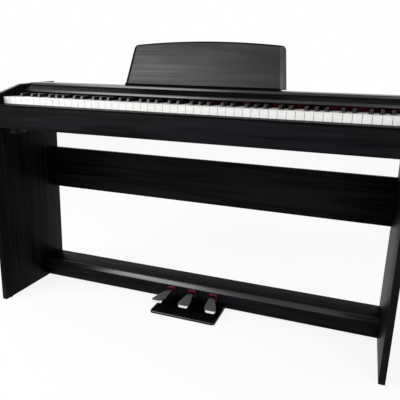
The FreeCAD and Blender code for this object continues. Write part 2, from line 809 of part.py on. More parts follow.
def key_springs():
    """A leaf under every key, as tall as the pressed key leaves room for."""
    low = size("frame_top")
    height = slip_top - sag_at(SPRING_BACK) - SHORT_OF_KEY - low
    wide, thick = SPRING_LEAF
    y = key_front + SPRING_BACK
    leaves = [Part.makeBox(wide, thick, height, Vector(x - wide / 2, y, low)) for x in key_centres()]
    return feature("key_springs", Part.makeCompound(leaves))


def key_stop_felt():
    margin = "(inner_width/2-frame_margin)"
    start = KEY_FRONT + "+stop_start"
    top = "(%s-key_dip+stop_overrun)" % SLIP_TOP
    made = block("stop_felt", ("-" + margin, margin), (start, start + "+stop_depth"), ("frame_top", top))
    return keep(made, "key_stop_felt")


def main_board():
    """The main circuit board on four posts, with three chips."""
    left = "-main_board_left"
    front = KEY_FRONT + "+main_board_start"
    under = KEYBED_TOP + "+post_height"
    upper = under + "+main_board_thickness"
    parts = [block("main_plate", (left, left + "+main_board_width"), (front, front + "+main_board_depth"),
                   (under, upper))]
    chips = ((25, 20, 28), (80, 25, 22), (130, 10, 18))
    for index, (along_x, along_y, wide) in enumerate(chips):
        x = "%s+%d" % (left, along_x)
        y = "%s+%d" % (front, along_y)
        parts.append(block("main_chip%d" % index, (x, "%s+%d" % (x, wide)), (y, "%s+%d" % (y, wide)),
                           (upper, upper + "+chip_height")))
    inset = 10
    posts = [(x, y) for x in (left + "+%d" % inset, left + "+main_board_width-%d" % inset)
             for y in (front + "+%d" % inset, front + "+main_board_depth-%d" % inset)]
    for index, (x, y) in enumerate(posts):
        parts.append(rod("main_post%d" % index, "post_radius", "post_height", (x, y, KEYBED_TOP)))
    return keep(fuse("main_assembly", parts), "main_board")


# ---------------------------------------------------------------- sound and sockets

def speaker(x):
    """A shallow speaker: flange, hollow cone and magnet, turned about its own axis."""
    rim = size("speaker_radius")
    mouth = size("speaker_hole") - 2
    tall = size("speaker_height")
    profile = [
        (0, 18), (16, 18), (mouth, 3), (mouth, 0), (rim, 0), (rim, 3),
        (mouth + 3, 4), (30, 21), (30, tall), (0, tall),
    ]
    points = [Vector(r, 0, z) for r, z in profile]
    face = Part.Face(Part.makePolygon(points + points[:1]))
    solid = face.revolve(Vector(), Vector(0, 0, 1), 360)
    solid.translate(Vector(x, key_front + size("speaker_back"), keybed_top))
    return solid


def speakers():
    offset = size("speaker_offset")
    return feature("speakers", Part.makeCompound([speaker(-offset), speaker(offset)]))


def grille(x):
    """A round grille with straight slots, under a speaker."""
    radius = size("grille_radius")
    thick = size("grille_thickness")
    middle = Vector(x, key_front + size("speaker_back"), size("rail_low") - thick)
    disc = Part.makeCylinder(radius, thick, middle)
    slots = []
    for step in range(-4, 5):
        y = step * 9.0
        reach = math.sqrt((size("speaker_hole") - 4) ** 2 - y ** 2)
        slots.append(Part.makeBox(2 * reach, 4, thick + 2, middle + Vector(-reach, y - 2, -1)))
    return disc.cut(slots)


def speaker_grilles():
    offset = size("speaker_offset")
    return feature("speaker_grilles", Part.makeCompound([grille(-offset), grille(offset)]))


def headphone_box():
    x = "-jack_offset"
    front = FRONT + "+rail_thickness"
    case = block("jack_case", (x + "-jack_box_width/2", x + "+jack_box_width/2"),
                 (front, front + "+jack_box_depth"), ("rail_low-jack_box_height", "rail_low"))
    start = (x, front + "-1", "rail_low-jack_box_height/2")
    bore = rod("jack_bore", "jack_radius", "jack_length+1", start, Vector(0, 1, 0))
    return keep(cut("jack_cut", case, [bore]), "headphone_box")


def power_inlet():
    back = REAR + "-inlet_recess"
    reach = "(inlet_width/2-inlet_gap)"
    across = ("inlet_offset-" + reach, "inlet_offset+" + reach)
    case = block("inlet_case", across, (back + "-inlet_depth", back),
                 (INLET_LOW + "+inlet_gap", INLET_LOW + "+inlet_height-inlet_gap"))
    start = ("inlet_offset", back + "-inlet_length", INLET_LOW + "+inlet_height/2")
    bore = rod("inlet_bore", "inlet_radius", "inlet_length+1", start, Vector(0, 1, 0))
    return keep(cut("inlet_cut", case, [bore]), "power_inlet")


# ---------------------------------------------------------------- bottom board and pedals

# Pedal shape: arm behind the axle, where the dip to the tip starts, and how finely the curves are drawn.
PEDAL_TAIL = 10.0
PEDAL_DIP_START = 14.0
FLARE_STEPS = 12
CORNER_STEPS = 6
DIP_STEPS = 12
COIL_COUNT = 6
COIL_RADIUS = 3.8
COIL_WIRE = 1.0
COIL_CORE = 3.2
COIL_SHORT = 0.4
WINDOW_LOW = "(pedal_pivot_height-pedal_arm_height/2-7)"
WINDOW_HIGH = "(pedal_pivot_height+pedal_arm_height/2+pedal_clearance)"


def pedal_x(index):
    return "(%d*pedal_spacing)" % index


def bottom_front_board():
    """The front of the bottom box: a sloped strip along its upper edge, and a window for each pedal arm."""
    back = LOWER_FRONT + "+lower_thickness"
    corners = [
        (LOWER_FRONT, "lower_low"),
        (back, "lower_low"),
        (back, "lower_top"),
        (LOWER_FRONT + "+strip_lean", "lower_top"),
        (LOWER_FRONT, "lower_top-strip_height"),
    ]
    body = padded("lower_face", "YZ_Plane", corners, "inner_width", "-" + HALF)
    wide = "(pedal_arm_width/2+pedal_clearance)"
    windows = []
    for index in (-1, 0, 1):
        x = pedal_x(index)
        windows.append(block("pedal_window%d" % (index + 1), (x + "-" + wide, x + "+" + wide),
                             (LOWER_FRONT + "-1", back + "+1"), (WINDOW_LOW, WINDOW_HIGH)))
    return keep(cut("lower_face_cut", body, windows), "bottom_front_board")


def bottom_board():
    made = block("lower_shelf", ("-" + HALF, HALF), (LOWER_FRONT + "+lower_thickness", REAR + "-lower_inset"),
                 ("lower_top-lower_thickness", "lower_top"))
    return keep(made, "bottom_board")


def pedal_base_plate():
    start = KEY_FRONT + "+plate_start"
    back = start + "+plate_depth"
    wide = "(plate_width/2)"
    corners = [("-" + wide, start), (wide, start), (wide, back), ("-" + wide, back)]
    body = padded("plate", "XY_Plane", corners, "plate_thickness")
    base = body_fillet(body, "plate_corners", "plate_corner", lambda e: along(e, "z"))
    top = size("plate_thickness")
    chamfer = body.newObject("PartDesign::Chamfer", "plate_chamfer")
    picked = ["Edge%d" % i for i, e in enumerate(base.Shape.Edges, start=1)
              if near(e.BoundBox.ZMin, top) and near(e.BoundBox.ZMax, top)]
    chamfer.Base = (base, picked)
    bind(chamfer, "Size", "plate_bevel")
    body.Tip = chamfer
    return keep(body, "pedal_base_plate")


def polyline_face(points):
    return Part.Face(Part.makePolygon(points + points[:1]))


def pedal(label, index):
    """A flared pedal: the overlap of its plan and its side view."""
    x = index * size("pedal_spacing")
    splay = index * size("pedal_splay")
    arm = size("pedal_arm_width") / 2
    head = size("pedal_head_width") / 2
    corner = size("pedal_corner")
    tip = key_front + size("pedal_tip")
    neck = key_front + size("pedal_neck")
    back = pedal_pivot_y + PEDAL_TAIL
    length = neck - tip

    def lean(y):
        return splay * max(0, neck - y) / length

    flank = [(arm, back), (arm, neck)]
    for step in range(1, FLARE_STEPS + 1):
        share = step / FLARE_STEPS
        swell = share * share * (3 - 2 * share)
        flank.append((arm + (head - arm) * swell, neck - (length - corner) * share))
    for step in range(1, CORNER_STEPS + 1):
        turn = math.pi / 2 * step / CORNER_STEPS
        flank.append((head - corner * (1 - math.cos(turn)), tip + corner * (1 - math.sin(turn))))
    right = [Vector(x + lean(y) + wide, y, 0) for wide, y in flank]
    left = [Vector(x + lean(y) - wide, y, 0) for wide, y in reversed(flank)]
    plan = polyline_face(right + left).extrude(Vector(0, 0, size("lower_top")))

    top = size("pedal_pivot_height") + size("pedal_arm_height") / 2
    low = top - size("pedal_arm_height")
    tip_top = top - size("pedal_tip_drop")
    tip_low = tip_top - size("pedal_tip_height")
    start = neck + PEDAL_DIP_START
    upper = [(back, top)]
    under = [(back, low)]
    for step in range(DIP_STEPS + 1):
        share = step / DIP_STEPS
        dip = share * share * (3 - 2 * share)
        y = start + (tip - start) * share
        upper.append((y, top + (tip_top - top) * dip))
        under.append((y, low + (tip_low - low) * dip))
    side = polyline_face([Vector(0, y, z) for y, z in upper + under[::-1]])
    span = size("pedal_spacing") / 2 + size("pedal_splay")
    side.translate(Vector(x - span, 0, 0))
    blade = plan.common(side.extrude(Vector(2 * span, 0, 0)))
    hole = Part.makeCylinder(size("axle_radius") + size("run_clearance"), 4 * arm,
                             Vector(x - 2 * arm, pedal_pivot_y, size("pedal_pivot_height")), Vector(1, 0, 0))
    return feature(label, blade.cut(hole))


def pedal_axle():
    reach = "(pedal_spacing+pedal_arm_width/2+4*ear)"
    start = ("-" + reach, KEY_FRONT + "+pedal_pivot_back", "pedal_pivot_height")
    made = rod("axle", "axle_radius", "2*" + reach, start, Vector(1, 0, 0))
    return keep(made, "pedal_axle")


def pedal_bracket():
    """A steel plate with two ears beside each pedal arm, and a strap on top that meets the bottom board."""
    middle = KEY_FRONT + "+pedal_pivot_back"
    wide = "(pedal_spacing+pedal_arm_width/2+4*ear)"
    across = ("-" + wide, wide)
    under = "(lower_top-lower_thickness)"
    pieces = [
        block("bracket_plate", across, (middle + "-bracket_front", middle + "+bracket_rear"),
              ("plate_thickness", "plate_thickness+bracket_sheet")),
        block("bracket_strap", across, (middle + "-strap_depth/2", middle + "+strap_depth/2"),
              (under + "-bracket_sheet", under)),
    ]
    for index in (-1, 0, 1):
        for side in (-1, 1):
            inner = "(%d*pedal_spacing+%d*(pedal_arm_width/2+pedal_clearance))" % (index, side)
            outer = "(%d*pedal_spacing+%d*(pedal_arm_width/2+pedal_clearance+ear))" % (index, side)
            low, high = (inner, outer) if side > 0 else (outer, inner)
            word = "right" if side > 0 else "left"
            pieces.append(block("ear%d%s" % (index + 1, word), (low, high),
                                (middle + "-ear_depth/2", middle + "+ear_depth/2"),
                                ("plate_thickness+bracket_sheet/2", under + "-bracket_sheet/2")))
    start = ("-1.5*pedal_spacing", middle, "pedal_pivot_height")
    hole = rod("bracket_hole", "axle_radius", "3*pedal_spacing", start, Vector(1, 0, 0))
    return keep(cut("bracket_cut", fuse("bracket_pieces", pieces), [hole]), "pedal_bracket")


def pedal_felts():
    """Red felt frames on the board's face, one round each pedal arm."""
    front = LOWER_FRONT + "-pedal_felt_depth"
    inner = "(pedal_arm_width/2+pedal_clearance)"
    outer = "(pedal_arm_width/2+pedal_clearance+pedal_felt_side)"
    frames = []
    for index in (-1, 0, 1):
        x = pedal_x(index)
        body = block("felt_block%d" % (index + 1), (x + "-" + outer, x + "+" + outer), (front, LOWER_FRONT),
                     (WINDOW_LOW + "-pedal_felt_side", WINDOW_HIGH + "+pedal_felt_border"))
        opening = block("felt_opening%d" % (index + 1), (x + "-" + inner, x + "+" + inner),
                        (front + "-1", LOWER_FRONT + "+1"), (WINDOW_LOW, WINDOW_HIGH))
        frames.append(cut("felt_frame%d" % (index + 1), body, [opening]))
    return keep(group("felt_frames", frames), "pedal_felts")


def pedal_springs():
    """A short coil under each arm, drawn as stacked rings on a core."""
    low = size("plate_thickness") + size("bracket_sheet")
    ahead = size("spring_ahead")
    y = pedal_pivot_y - ahead
    travel = ahead * math.tan(math.radians(size("pedal_travel")))
    top = size("pedal_pivot_height") - size("pedal_arm_height") / 2 - travel - COIL_SHORT
    step = (top - low - 2 * COIL_WIRE) / (COIL_COUNT - 1)
    coils = []
    for index in (-1, 0, 1):
        x = index * size("pedal_spacing")
        core = Part.makeCylinder(COIL_CORE, top - low, Vector(x, y, low))
        heights = [low + COIL_WIRE + step * i for i in range(COIL_COUNT)]
        rings = [Part.makeTorus(COIL_RADIUS, COIL_WIRE, Vector(x, y, height)) for height in heights]
        coils.append(core.fuse(rings))
    return feature("pedal_springs", Part.makeCompound(coils))


def pedal_sensor_board():
    back = KEY_FRONT + "+pedal_pivot_back-bracket_front-6"
    wide = "(pedal_spacing+pedal_arm_width)"
    made = block("sensor_plate", ("-" + wide, wide), (back + "-sensor_depth", back),
                 ("plate_thickness", "plate_thickness+sensor_height"))
    return keep(made, "pedal_sensor_board")


# ---------------------------------------------------------------- music rest

def music_rest():
    foot = "(rest_width/2)"
    crown = "(rest_width/2-rest_taper)"
    body = doc.addObject("PartDesign::Body", "music_rest_body")
    sketch = body.newObject("Sketcher::SketchObject", "music_rest_outline")
    sketch.AttachmentSupport = [(plane_of(body, "XZ_Plane"), "")]
    sketch.MapMode = "FlatFace"
    w, top, rise = size("rest_width") / 2, size("rest_height"), size("rest_arch")
    narrow = w - size("rest_taper")
    sketch.addGeometry(Part.LineSegment(Vector(-w, 0, 0), Vector(w, 0, 0)))
    sketch.addGeometry(Part.LineSegment(Vector(w, 0, 0), Vector(narrow, top, 0)))
    sketch.addGeometry(Part.Arc(Vector(narrow, top, 0), Vector(0, top + rise, 0), Vector(-narrow, top, 0)))
    sketch.addGeometry(Part.LineSegment(Vector(-narrow, top, 0), Vector(-w, 0, 0)))
    sketch.addConstraint(Sketcher.Constraint("Coincident", 0, 2, 1, 1))
    sketch.addConstraint(Sketcher.Constraint("Coincident", 1, 2, 2, 1))
    sketch.addConstraint(Sketcher.Constraint("Coincident", 2, 2, 3, 1))
    sketch.addConstraint(Sketcher.Constraint("Coincident", 3, 2, 0, 1))
    radius = (narrow * narrow + rise * rise) / (2 * rise)
    dimensions = [
        ("DistanceX", 0, 1, -w, "-" + foot), ("DistanceY", 0, 1, 0.0, "0"),
        ("DistanceX", 1, 1, w, foot), ("DistanceY", 1, 1, 0.0, "0"),
        ("DistanceX", 2, 1, narrow, crown), ("DistanceY", 2, 1, top, "rest_height"),
        ("DistanceX", 3, 1, -narrow, "-" + crown), ("DistanceY", 3, 1, top, "rest_height"),
    ]
    for number, (kind, geometry, point, value, text) in enumerate(dimensions):
        index = sketch.addConstraint(Sketcher.Constraint(kind, -1, 1, geometry, point, value))
        sketch.renameConstraint(index, "rest%d" % number)
        bind(sketch, "Constraints.rest%d" % number, text)
    index = sketch.addConstraint(Sketcher.Constraint("Radius", 2, radius))
    sketch.renameConstraint(index, "arch")
    bind(sketch, "Constraints.arch", "(%s^2+rest_arch^2)/(2*rest_arch)" % crown)
    pad = body.newObject("PartDesign::Pad", "music_rest_pad")
    pad.Profile = sketch
    pad.Reversed = True
    bind(pad, "Length", "rest_thickness")
    doc.recompute()
    body_fillet(body, "music_rest_corners", "rest_corner",
                lambda e: along(e, "y") and centre(e).z > top / 2)
    front = min(vertex.Y for vertex in body.Shape.Vertexes)
    base = body.Tip
    chamfer = body.newObject("PartDesign::Chamfer", "music_rest_bevel")
    picked = ["Edge%d" % i for i, e in enumerate(base.Shape.Edges, start=1)
              if near(e.BoundBox.YMin, front) and near(e.BoundBox.YMax, front) and centre(e).z > 1]
    chamfer.Base = (base, picked)
    bind(chamfer, "Size", "rest_bevel")
    body.Tip = chamfer
    body.Placement = Placement(Vector(), Rotation(Vector(1, 0, 0), -size("rest_lean")))
    bind(body, "Placement.Base.y", KEY_FRONT + "+rest_back")
    bind(body, "Placement.Base.z", "top_height+rest_gap+ledge_thickness+3.6")
    return keep(body, "music_rest")


REST_FOOT_LEVEL = "top_height+rest_gap"


def music_ledge():
    """The ledge under the music rest: a tray with a low lip in front, which the rest stands on."""
    back = KEY_FRONT + "+rest_back"
    front = back + "-ledge_depth"
    corners = [
        (front, REST_FOOT_LEVEL),
        (back + "+rest_thickness", REST_FOOT_LEVEL),
        (back + "+rest_thickness", REST_FOOT_LEVEL + "+ledge_thickness"),
        (front + "+3", REST_FOOT_LEVEL + "+ledge_thickness"),
        (front + "+3", REST_FOOT_LEVEL + "+ledge_lip"),
        (front, REST_FOOT_LEVEL + "+ledge_lip"),
    ]
    body = padded("ledge", "YZ_Plane", corners, "rest_width", "-rest_width/2")
    holes = []
    for sign, word in ((-1, "left"), (1, "right")):
        place = ("%d*peg_spacing/2" % sign, back + "-ledge_depth/2", REST_FOOT_LEVEL + "-1")
        holes.append(rod("ledge_hole_" + word, "peg_radius", "ledge_thickness+2", place))
    return keep(cut("ledge_cut", body, holes), "music_ledge")


def music_rest_pegs():
    pieces = []
    for sign, word in ((-1, "left"), (1, "right")):
        place = ("%d*peg_spacing/2" % sign, KEY_FRONT + "+rest_back-ledge_depth/2", "top_height-peg_depth")
        pieces.append(rod("peg_" + word, "peg_radius", "peg_depth+rest_gap+ledge_thickness", place))
    return keep(group("pegs", pieces), "music_rest_pegs")


# ---------------------------------------------------------------- brackets and bolts

def bracket_spots():
    spots = []
    for sign in (-1, 1):
        for back in (92.0, 205.0):
            spots.append((sign, key_front + back))
    return spots


def mounting_brackets():
    """Steel angles that hang the keyboard case between the side boards."""
    top = size("rail_low")
    pieces = []
    for sign, y in bracket_spots():
        face = sign * half
        low_x = face - 26 if sign > 0 else face
        shelf = Part.makeBox(26, 30, 2.5, Vector(low_x, y - 15, top - 2.5))
        wall_x = face - 2.5 if sign > 0 else face
        wall = Part.makeBox(2.5, 30, 26, Vector(wall_x, y - 15, top - 26))
        hole_up = Part.makeCylinder(2.6, 6, Vector(face - sign * 15, y, top - 4))
        hole_side = Part.makeCylinder(2.6, 6, Vector(face + sign * 1, y, top - 15), Vector(-sign, 0, 0))
        pieces.append(shelf.fuse(wall).removeSplitter().cut([hole_up, hole_side]))
    return feature("mounting_brackets", Part.makeCompound(pieces))


def mounting_bolts():
    """A bolt up through each bracket's shelf and one out through its wall, with domed heads."""
    top = size("rail_low")
    pieces = []
    for sign, y in bracket_spots():
        face = sign * half
        for point, direction in ((Vector(face - sign * 15, y, top - 2.5), Vector(0, 0, -1)),
                                 (Vector(face - sign * 2.5, y, top - 15), Vector(-sign, 0, 0))):
            head = Part.makeCone(5, 3.2, 3, point, direction)
            shank = Part.makeCylinder(2.6, 2.5, point, direction * -1)
            pieces.append(head.fuse(shank))
    return feature("mounting_bolts", Part.makeCompound(pieces))


# ---------------------------------------------------------------- building and writing

side_board("side_board_left", -1)
side_board("side_board_right", 1)
floor_glides()
modesty_board()
front_rail()
key_slip()
keybed()
rear_panel()
top_panel()
fascia()
nosing()
key_felt_strip()
power_button()
volume_knob()
function_button("piano_button", 0)
function_button("metronome_button", 1)
control_board()
keys()
key_frame()
key_pivot_rod()
contact_board()
contact_domes()
key_springs()
key_stop_felt()
main_board()
speakers()
speaker_grilles()
headphone_box()
power_inlet()
bottom_front_board()
bottom_board()
pedal_base_plate()
pedal("soft_pedal", -1)
pedal("sostenuto_pedal", 0)
pedal("damper_pedal", 1)
pedal_axle()
pedal_bracket()
pedal_felts()
pedal_springs()
pedal_sensor_board()
music_rest()
music_ledge()
music_rest_pegs()
mounting_brackets()
mounting_bolts()
doc.recompute()

for item in doc.Objects:
    if {"Invalid", "Error"} & set(item.State):
        raise RuntimeError("%s failed: %s" % (item.Label, item.State))
for item in nodes:
    if item.Shape.isNull() or not item.Shape.isValid() or not item.Shape.Solids:
        raise RuntimeError("%s has no valid solid" % item.Label)
labels = [item.Label for item in nodes]
if len(set(labels)) != len(labels):
    raise RuntimeError("two nodes share a name")

os.makedirs("parts", exist_ok=True)
for item in nodes:
    item.Shape.exportStep(os.path.join("parts", item.Label + ".step"))
print(len(nodes), "nodes written")
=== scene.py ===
import json
import math

import bmesh
import bpy
from mathutils import Matrix, Vector

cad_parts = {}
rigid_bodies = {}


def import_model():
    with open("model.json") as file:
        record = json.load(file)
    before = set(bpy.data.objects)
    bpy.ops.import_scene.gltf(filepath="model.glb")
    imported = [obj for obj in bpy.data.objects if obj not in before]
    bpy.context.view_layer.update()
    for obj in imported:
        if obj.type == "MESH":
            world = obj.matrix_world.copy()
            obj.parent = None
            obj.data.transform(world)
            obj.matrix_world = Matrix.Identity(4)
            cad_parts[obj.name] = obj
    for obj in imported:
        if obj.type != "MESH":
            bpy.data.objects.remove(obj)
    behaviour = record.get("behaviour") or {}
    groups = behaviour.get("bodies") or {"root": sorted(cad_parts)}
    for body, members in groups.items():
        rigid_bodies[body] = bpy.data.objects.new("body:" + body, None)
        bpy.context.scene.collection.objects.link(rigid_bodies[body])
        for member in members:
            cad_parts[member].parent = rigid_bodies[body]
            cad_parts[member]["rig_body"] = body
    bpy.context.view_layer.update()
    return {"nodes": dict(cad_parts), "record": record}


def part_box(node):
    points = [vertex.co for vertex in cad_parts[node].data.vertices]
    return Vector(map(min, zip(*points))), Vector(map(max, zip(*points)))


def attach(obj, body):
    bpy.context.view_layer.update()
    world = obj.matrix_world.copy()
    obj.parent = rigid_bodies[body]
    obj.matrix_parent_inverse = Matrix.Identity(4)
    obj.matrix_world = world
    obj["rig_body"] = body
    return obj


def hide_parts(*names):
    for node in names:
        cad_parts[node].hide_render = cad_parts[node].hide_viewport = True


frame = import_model()
NODES = frame["nodes"]
SLOTS = {part["node"]: part["material_slot"] for part in frame["record"]["subparts"]}

MM = 0.001
KEY_GAP = 1.0 * MM
WHITE_COUNT = 52
FIRST_MIDDLE = 23
MIDDLE_KEYS = 7
# Middle of each black key, in white keys to the right of its lower neighbour's left side.
BLACK_OFFSETS = {"C": 0.90, "D": 1.10, "F": 0.87, "G": 1.00, "A": 1.13}

CAMERA_PLACE = (0.50425, -1.34175, 0.78597)
CAMERA_YAW, CAMERA_PITCH, CAMERA_ROLL = 0.344286, 0.262146, 0.028339
CAMERA_LENS = 41.699
CAMERA_SHIFT = (0.01114, -0.00107)
FLOOR_HALF = 12.0
FLOOR_GLOW = 0.86
ROOM_LIGHT = 0.62
# Name, place, aim, width, height in metres, and power in watts.
SOFTBOXES = (
    ("key_light", (-1.4, -1.7, 1.75), (-0.1, 0, 0.6), 1.7, 0.9, 54),
    ("back_light", (-2.4, 1.6, 2.0), (0, 0, 0.7), 1.6, 1.0, 12),
    ("fill_light", (2.4, -2.2, 1.6), (0, 0, 0.5), 1.4, 1.4, 28),
)


# ---------------------------------------------------------------- finishes

class Finish:
    """A node material: short calls for the nodes that its pattern needs."""

    def __init__(self, name):
        self.material = bpy.data.materials.new(name)
        self.material.use_nodes = True
        self.tree = self.material.node_tree
        self.shader = self.tree.nodes["Principled BSDF"]
        self.where = self.node("ShaderNodeTexCoord").outputs["Object"]

    def node(self, kind, **values):
        made = self.tree.nodes.new(kind)
        for key, value in values.items():
            setattr(made, key, value)
        return made

    def feed(self, source, target):
        self.tree.links.new(source, target)

    def set(self, **values):
        """Constants on the shader's own sockets; an underscore stands for a space."""
        for key, value in values.items():
            self.shader.inputs[key.replace("_", " ")].default_value = value
        return self

    def scaled(self, scale, turn=(0, 0, 0), source=None):
        mapping = self.node("ShaderNodeMapping")
        self.feed(source or self.where, mapping.inputs["Vector"])
        mapping.inputs["Scale"].default_value = scale
        mapping.inputs["Rotation"].default_value = turn
        return mapping.outputs["Vector"]

    def noise(self, vector, scale=1.0, detail=4.0, rough=0.5, distortion=0.0):
        made = self.node("ShaderNodeTexNoise")
        self.feed(vector, made.inputs["Vector"])
        made.inputs["Scale"].default_value = scale
        made.inputs["Detail"].default_value = detail
        made.inputs["Roughness"].default_value = rough
        made.inputs["Distortion"].default_value = distortion
        return made.outputs["Fac"]

    def spread(self, value, low, high, out_low=0.0, out_high=1.0):
        made = self.node("ShaderNodeMapRange")
        self.feed(value, made.inputs["Value"])
        limits = (("From Min", low), ("From Max", high), ("To Min", out_low), ("To Max", out_high))
        for key, number in limits:
            made.inputs[key].default_value = number
        return made.outputs["Result"]

    def math(self, operation, first, second=0):
        made = self.node("ShaderNodeMath", operation=operation)
        for socket, value in zip(made.inputs, (first, second)):
            if isinstance(value, (int, float)):
                socket.default_value = value
            else:
                self.feed(value, socket)
        return made.outputs["Value"]

    def blend(self, *parts):
        """The sum of values, each with its share."""
        total = None
        for value, share in parts:
            part = self.math("MULTIPLY", value, share)
            total = part if total is None else self.math("ADD", total, part)
        return total

    def tint(self, value, dark, light):
        """Base colour between two colours."""
        ramp = self.node("ShaderNodeValToRGB")
        ramp.color_ramp.elements[0].color = (*dark, 1)
        ramp.color_ramp.elements[1].color = (*light, 1)
        self.feed(value, ramp.inputs["Fac"])
        return ramp.outputs["Color"]

    def colour(self, source):
        self.feed(source, self.shader.inputs["Base Color"])
        return self

    def roughness(self, value, low, high):
        self.feed(self.spread(value, 0.3, 0.7, low, high), self.shader.inputs["Roughness"])
        return self

    def bump(self, height, depth, strength=1.0):
        made = self.node("ShaderNodeBump")
        made.inputs["Distance"].default_value = depth
        made.inputs["Strength"].default_value = strength
        self.feed(height, made.inputs["Height"])
        self.feed(made.outputs["Normal"], self.shader.inputs["Normal"])
        return self


def wood_grain(name, along, dark, light, specular=0.045, rough=(0.36, 0.52), emboss=0.35):
    """Black foil printed and embossed with wood grain, running along X, Y or Z."""
    made = Finish(name)
    axis = "xyz".index(along)

    def stretched(across, lengthways):
        scale = [across] * 3
        scale[axis] = lengthways
        return made.scaled(tuple(scale))

    flow = made.noise(stretched(14.0, 1.0), scale=1.6, detail=3, distortion=0.5)
    rings = made.math("SINE", made.math("MULTIPLY", flow, 24.0))
    pores = made.noise(stretched(900.0, 9.0), detail=3, rough=0.65)
    streak = made.noise(stretched(160.0, 2.2), detail=4, rough=0.6)
    tone = made.blend((rings, 0.28), (streak, 0.8), (pores, 0.35))
    made.colour(made.tint(made.spread(tone, 0.30, 0.85), dark, light))
    made.roughness(streak, *rough)
    made.bump(made.blend((pores, 0.6), (tone, 0.5)), emboss * MM, 0.55)
    return made.set(Specular_IOR_Level=specular).material


def moulded(name, dark, light, rough, grain_scale=900.0, depth=0.04, specular=0.5):
    """Moulded plastic with a fine even grain."""
    made = Finish(name)
    grain = made.noise(made.where, scale=grain_scale, detail=2, rough=0.5)
    cloud = made.noise(made.where, scale=14.0, detail=3)
    made.colour(made.tint(made.spread(cloud, 0.3, 0.7), dark, light))
    made.roughness(made.blend((grain, 0.5), (cloud, 0.5)), *rough)
    made.bump(grain, depth * MM, 0.6)
    return made.set(Specular_IOR_Level=specular).material


def felt(name, dark, light, sheen=0.35):
    """Pressed wool: tangled fibres, a soft sheen."""
    made = Finish(name)
    fibre = made.noise(made.where, scale=1400.0, detail=4, rough=0.7, distortion=1.2)
    clump = made.noise(made.where, scale=190.0, detail=3)
    both = made.blend((fibre, 0.6), (clump, 0.4))
    made.colour(made.tint(made.spread(both, 0.35, 0.65), dark, light))
    made.bump(both, 0.5 * MM, 0.9)
    return made.set(Roughness=0.95, Sheen_Weight=sheen, Sheen_Roughness=0.5,
                    Specular_IOR_Level=0.2).material


def metal(name, dark, light, rough, brushed="x", scratch=0.05):
    """Metal with fine brushing in one direction."""
    made = Finish(name)
    stretch = [2400.0] * 3
    stretch["xyz".index(brushed)] = 30.0
    hair = made.noise(made.scaled(tuple(stretch)), detail=3, rough=0.7)
    cloud = made.noise(made.where, scale=45.0, detail=4, rough=0.6)
    both = made.blend((hair, 0.55), (cloud, 0.45))
    made.colour(made.tint(made.spread(both, 0.3, 0.7), dark, light))
    made.roughness(both, *rough)
    made.bump(hair, scratch * MM, 0.5)
    return made.set(Metallic=1.0).material


def circuit(name):
    """Green solder mask over copper tracks."""
    made = Finish(name)
    brick = made.node("ShaderNodeTexBrick")
    made.feed(made.scaled((1, 1, 1)), brick.inputs["Vector"])
    brick.inputs["Scale"].default_value = 240.0
    brick.inputs["Mortar Size"].default_value = 0.035
    brick.inputs["Color1"].default_value = (0.010, 0.075, 0.028, 1)
    brick.inputs["Color2"].default_value = (0.008, 0.058, 0.022, 1)
    brick.inputs["Mortar"].default_value = (0.02, 0.13, 0.05, 1)
    made.colour(brick.outputs["Color"])
    made.roughness(made.noise(made.where, scale=300.0), 0.25, 0.4)
    made.bump(brick.outputs["Fac"], 0.03 * MM, 0.5)
    return made.material


def cone_paper(name):
    """Pressed paper with rings and fibres."""
    made = Finish(name)
    fibre = made.noise(made.where, scale=700.0, detail=5, rough=0.7)
    made.colour(made.tint(made.spread(fibre, 0.35, 0.65), (0.012,) * 3, (0.04,) * 3))
    made.bump(fibre, 0.15 * MM, 0.7)
    return made.set(Roughness=0.85, Specular_IOR_Level=0.25).material


def ivory(name):
    """Satin white key tops with a faint warm variation."""
    made = Finish(name)
    cloud = made.noise(made.scaled((9.0, 2.0, 9.0)), scale=4.0, detail=3)
    grain = made.noise(made.where, scale=1500.0, detail=2)
    tone = made.spread(cloud, 0.3, 0.7)
    made.colour(made.tint(tone, (0.78, 0.775, 0.76), (0.83, 0.825, 0.81)))
    made.roughness(made.blend((grain, 0.5), (cloud, 0.5)), 0.24, 0.34)
    made.bump(grain, 0.01 * MM, 0.4)
    return made.set(Specular_IOR_Level=0.5, Coat_Weight=0.25, Coat_Roughness=0.12).material


